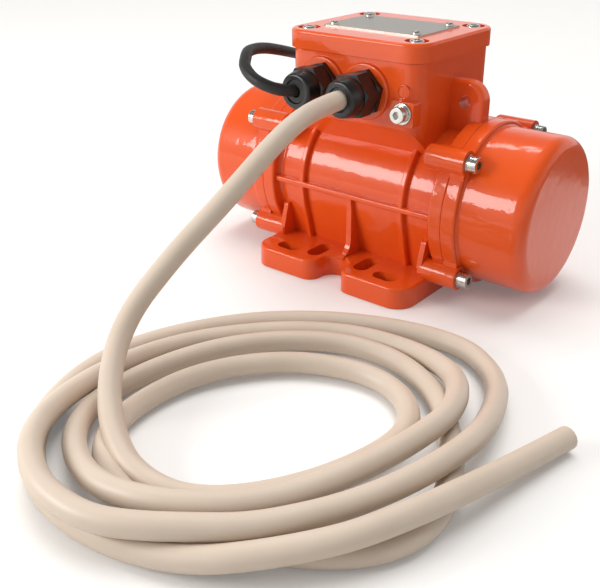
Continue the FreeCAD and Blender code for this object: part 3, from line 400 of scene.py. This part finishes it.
pvc, tree, shader, place = finish_of(
    "beige_pvc_sheath", Roughness=0.42, Specular_IOR_Level=0.4)
speck = add(tree, "ShaderNodeTexNoise", {"Vector": place, "Scale": 60.0, "Detail": 5.0})
pvc_tone = add(tree, "ShaderNodeMix", {0: speck.outputs[0],
                                       6: colour("#C8B6A4"), 7: colour("#D2C2B1")},
               data_type="RGBA")
tree.links.new(pvc_tone.outputs[2], shader.inputs["Base Color"])
lay_marks = add(tree, "ShaderNodeTexNoise", {"Vector": place, "Scale": 240.0, "Detail": 2.0})
pvc_skin = add(tree, "ShaderNodeBump", {"Height": lay_marks.outputs[0],
                                        "Strength": 0.2, "Distance": 0.00012})
tree.links.new(pvc_skin.outputs["Normal"], shader.inputs["Normal"])

cable_route = CABLE_DROP + FIRST_TURN + SECOND_TURN + THIRD_TURN + FOURTH_TURN + CABLE_TAIL
cable = cord_curve("supply_cable", cable_route, CABLE_R, pvc)
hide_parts("power_cord", "power_cord_coil", "power_cord_tail")
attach(cable, "base")


# ---- Cores at the cut end of the cable ------------------------------------------------
# The plain cut shows four stranded copper cores, each in its own thin black insulation,
# laid round the middle of the sheath.
CORE_R = 0.00142
CONDUCTOR_R = 0.00085
CORE_RING_R = 0.00213
CORE_OUT = 0.0006
CONDUCTOR_OUT = 0.0003      # how far the copper stands out of its insulation
CORES = 4

core_black, tree, shader, place = finish_of(
    "core_insulation_pvc", Base_Color=colour("#2A2725"), Roughness=0.5)
smear = add(tree, "ShaderNodeTexNoise", {"Vector": place, "Scale": 900.0})
core_sheen = add(tree, "ShaderNodeMapRange", {"Value": smear.outputs[0],
                                              "To Min": 0.35, "To Max": 0.6})
tree.links.new(core_sheen.outputs["Result"], shader.inputs["Roughness"])
bare_copper, tree, shader, place = finish_of(
    "cut_copper_strands", Base_Color=colour("#B8693C"), Metallic=1.0, Roughness=0.35)
strand = add(tree, "ShaderNodeTexVoronoi", {"Vector": place, "Scale": 3500.0})
strand_round = add(tree, "ShaderNodeBump", {"Height": strand.outputs["Distance"],
                                            "Strength": 0.6, "Distance": 0.0001},
                   invert=True)
tree.links.new(strand_round.outputs["Normal"], shader.inputs["Normal"])


def tree_of(name, **sizes):
    """A geometry tree with its input and output, and one named input for each size."""
    made = bpy.data.node_groups.new(name, "GeometryNodeTree")
    made.interface.new_socket("Geometry", in_out="INPUT", socket_type="NodeSocketGeometry")
    for size, value in sizes.items():
        socket = made.interface.new_socket(size, in_out="INPUT",
                                           socket_type="NodeSocketFloat")
        socket.default_value = value
    made.interface.new_socket("Geometry", in_out="OUTPUT", socket_type="NodeSocketGeometry")
    given = made.nodes.new("NodeGroupInput").outputs
    result = made.nodes.new("NodeGroupOutput").inputs[0]
    return made, given, result


def made_mesh(name, made_tree, place_of=Matrix.Identity(4)):
    """Runs a geometry tree once and keeps what it makes as a plain mesh piece."""
    host = bpy.data.objects.new(name, bpy.data.meshes.new(name))
    bpy.context.scene.collection.objects.link(host)
    modifier = host.modifiers.new("make", "NODES")
    modifier.node_group = made_tree
    shown = host.evaluated_get(bpy.context.evaluated_depsgraph_get())
    mesh = bpy.data.meshes.new_from_object(shown)
    host.modifiers.remove(modifier)
    host.data = mesh
    mesh.transform(place_of)
    return host


cores, given, result = tree_of("cable_cores", ring=CORE_RING_R, core=CORE_R,
                               conductor=CONDUCTOR_R, out=CORE_OUT)
ring = add(cores, "GeometryNodeMeshCircle", {"Vertices": CORES, "Radius": given["ring"]})
parts = []
for size, extra, stuff in (("core", 0.0, core_black), ("conductor", CONDUCTOR_OUT, bare_copper)):
    length = add(cores, "ShaderNodeMath", {0: given["out"], 1: 2 * (CORE_OUT + extra)},
                 operation="ADD")
    rod = add(cores, "GeometryNodeMeshCylinder", {"Vertices": 24, "Radius": given[size],
                                                  "Depth": length.outputs[0]})
    spread = add(cores, "GeometryNodeInstanceOnPoints", {
        "Points": ring.outputs["Mesh"], "Instance": rod.outputs["Mesh"]})
    real = add(cores, "GeometryNodeRealizeInstances", {"Geometry": spread.outputs[0]})
    parts.append(add(cores, "GeometryNodeSetMaterial", {"Geometry": real.outputs[0],
                                                        "Material": stuff}))
joined = add(cores, "GeometryNodeJoinGeometry")
for part in parts:
    cores.links.new(part.outputs[0], joined.inputs[0])
cores.links.new(joined.outputs[0], result)
cut = Vector(CABLE_TAIL[-1]) / 1000
along = (cut - Vector(CABLE_TAIL[-2]) / 1000).normalized()
cut_ends = made_mesh("cable_cores", cores,
                     Matrix.Translation(cut) @ along.to_track_quat("Z", "Y").to_matrix().to_4x4())
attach(cut_ends, "base")


# ---- Floor, light and camera -------------------------------------------------------------
# A white table under a broad overhead light, with a window and a strip light for the gloss.
# The gloss shows the table's edge behind the motor and a darker room past it. To the right of the
# motor the table is painted darker in reflections alone: painted shade for the shadowed floor
# there.
TABLE_EDGE_Y = 0.18
REFLECTED_SHADE_EDGE_X = 0.15
EDGE_BLUR_Y, REFLECTED_SHADE_BLUR_X = 0.03, 0.15
TABLE_GLOW = 0.12
FLOOR_HALF = 6.0
FLOOR_Z = -0.0002

white_table, tree, shader, place = finish_of("matt_white_table", Roughness=0.9)
rays = add(tree, "ShaderNodeLightPath").outputs
grit = add(tree, "ShaderNodeTexNoise", {"Vector": place, "Scale": 900.0})
grit_bump = add(tree, "ShaderNodeBump", {"Height": grit.outputs[0],
                                         "Strength": 0.05, "Distance": 0.0001})
tree.links.new(grit_bump.outputs["Normal"], shader.inputs["Normal"])
position = add(tree, "ShaderNodeSeparateXYZ", {0: place})
beyond = add(tree, "ShaderNodeMapRange", {"Value": position.outputs["Y"],
                                          "From Min": TABLE_EDGE_Y,
                                          "From Max": TABLE_EDGE_Y + EDGE_BLUR_Y})
# Painted shade in the gloss: seen in reflections, the table darkens to the right of the motor, up
# to 60 per cent of the way to the dark room colour.
beside = add(tree, "ShaderNodeMapRange", {"Value": position.outputs["X"],
                                          "From Min": REFLECTED_SHADE_EDGE_X,
                                          "From Max": REFLECTED_SHADE_EDGE_X + REFLECTED_SHADE_BLUR_X, "To Max": 0.6})
off_table_and_reflected_shade = add(tree, "ShaderNodeMath", {0: beyond.outputs["Result"],
                                         1: beside.outputs["Result"]}, operation="MAXIMUM")
reflected_room_and_shade = add(tree, "ShaderNodeMath", {0: rays["Is Glossy Ray"],
                                         1: off_table_and_reflected_shade.outputs[0]}, operation="MULTIPLY")
ground = add(tree, "ShaderNodeMix", {0: reflected_room_and_shade.outputs[0], 6: colour("#E6E4E1"),
                                     7: colour("#5A5552")}, data_type="RGBA")
tree.links.new(ground.outputs[2], shader.inputs["Base Color"])
on_table = add(tree, "ShaderNodeMath", {0: rays["Is Glossy Ray"],
                                        1: reflected_room_and_shade.outputs[0]}, operation="SUBTRACT")
seen = add(tree, "ShaderNodeMath", {0: rays["Is Camera Ray"], 1: on_table.outputs[0]},
           operation="MAXIMUM")
lift = add(tree, "ShaderNodeMath", {0: seen.outputs[0], 1: TABLE_GLOW}, operation="MULTIPLY")
shader.inputs["Emission Color"].default_value = (1, 1, 1, 1)
tree.links.new(lift.outputs[0], shader.inputs["Emission Strength"])

floor_mesh = bpy.data.meshes.new("table")
floor_mesh.from_pydata([(x * FLOOR_HALF, y * FLOOR_HALF, FLOOR_Z)
                        for x, y in ((-1, -1), (1, -1), (1, 1), (-1, 1))], [], [(0, 1, 2, 3)])
floor_mesh.materials.append(white_table)
table = bpy.data.objects.new("table", floor_mesh)
bpy.context.scene.collection.objects.link(table)

world = bpy.data.worlds.new("studio")
bpy.context.scene.world = world
world.use_nodes = True
tree = world.node_tree
sky = tree.nodes["Background"]
rays = add(tree, "ShaderNodeLightPath").outputs
heading = add(tree, "ShaderNodeSeparateXYZ", {
    0: add(tree, "ShaderNodeTexCoord").outputs["Generated"]})
backdrop = add(tree, "ShaderNodeMapRange", {"Value": heading.outputs["Z"], "From Min": 0.32,
                                            "From Max": 0.62, "To Min": 0.9, "To Max": 0.2})
open_side = add(tree, "ShaderNodeMapRange", {"Value": heading.outputs["X"], "From Min": -1.0,
                                             "From Max": 1.0, "To Min": 0.6,
                                             "To Max": 0.32})
soft = add(tree, "ShaderNodeMix", {0: rays["Is Glossy Ray"], 2: open_side.outputs[0],
                                   3: backdrop.outputs[0]}, data_type="FLOAT")
room = add(tree, "ShaderNodeMix", {0: rays["Is Camera Ray"], 2: soft.outputs[0], 3: 1.0},
           data_type="FLOAT")
sky.inputs["Color"].default_value = (1, 1, 1, 1)
tree.links.new(room.outputs[0], sky.inputs["Strength"])


def lamp(name, kind, spot, aim, strength, **settings):
    """A lamp at spot, turned towards aim."""
    data = bpy.data.lights.new(name, kind)
    data.energy = strength
    for setting, value in settings.items():
        setattr(data, setting, value)
    made = bpy.data.objects.new(name, data)
    bpy.context.scene.collection.objects.link(made)
    made.location = spot
    made.rotation_euler = (Vector(aim) - Vector(spot)).to_track_quat("-Z", "Y").to_euler()
    return made


MOTOR = (0.0, 0.0, 0.07)
sun = lamp("overhead", "SUN", (-0.05, 0.28, 1.2), MOTOR, 1.8, angle=math.radians(45))
sun.visible_glossy = False
lamp("window", "AREA", (-0.5, -0.85, 0.42), (0.0, -0.12, 0.04), 5.6, shape="RECTANGLE",
     size=0.5, size_y=0.3)
lamp("strip", "AREA", (-0.5, 0.2, 1.1), MOTOR, 1.6, shape="RECTANGLE", size=1.0,
     size_y=0.06)

camera_data = bpy.data.cameras.new("camera")
camera_data.sensor_width = 36.0
camera_data.lens = 51.84
camera_data.clip_start = 0.01
camera = bpy.data.objects.new("camera", camera_data)
bpy.context.scene.collection.objects.link(camera)
camera.location = (0.26973, -0.41057, 0.21275)
camera.rotation_euler = [math.radians(a) for a in (63.624, 0.331, 39.453)]
bpy.context.scene.camera = camera
bpy.context.scene.view_settings.view_transform = "Standard"
